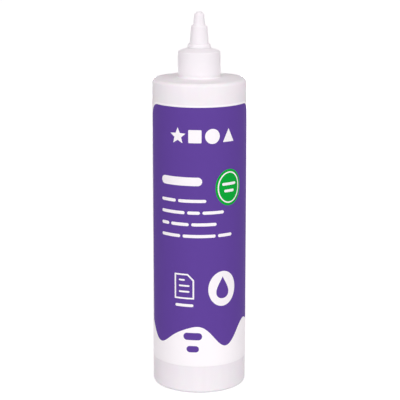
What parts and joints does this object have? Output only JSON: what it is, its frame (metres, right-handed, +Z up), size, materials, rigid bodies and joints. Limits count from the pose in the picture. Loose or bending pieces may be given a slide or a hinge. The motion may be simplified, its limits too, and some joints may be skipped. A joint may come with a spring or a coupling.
{
  "type": "white glue bottle",
  "caption": "Round white squeeze bottle of craft glue with a wrapped front label, a screw collar and a stepped nozzle that rises off a plug pin to open.",
  "frame": {"origin": "centre of the foot ring, on the surface that the bottle stands on", "axes": "+Z up along the bottle's axis towards the nozzle, -Y towards the middle of the front label, +X to the right of someone who faces the label"},
  "size_m": [0.06, 0.0603, 0.2412],
  "materials": {
    "bottle_polyethylene": "satin",
    "white_glue": "gloss",
    "label_film": "satin",
    "liner_foam": "matte",
    "closure_polypropylene": "satin"
  },
  "bodies": {
    "bottle": {"bottle_body": "bottle_polyethylene", "front_label": "label_film", "glue_fill": "white_glue"},
    "liner": {"neck_liner": "liner_foam"},
    "collar": {"screw_collar": "closure_polypropylene"},
    "nozzle": {"twist_nozzle": "closure_polypropylene"}
  },
  "joints": [
    {"name": "collar_rise", "type": "slide", "parent": "bottle", "child": "liner", "axis": [0, 0, 1], "range_m": [0, 0.0048]},
    {"name": "collar_turn", "type": "hinge", "parent": "liner", "child": "collar", "pos_m": [0, 0, 0.208], "axis": [0, 0, 1], "range_deg": [0, 540]},
    {"name": "nozzle_rise", "type": "slide", "parent": "collar", "child": "nozzle", "axis": [0, 0, 1], "range_m": [0, 0.0035]}
  ],
  "couplings": [
    {"joint": "collar_rise", "follows": "collar_turn", "m_per_rad": 0.00050532}
  ]
}
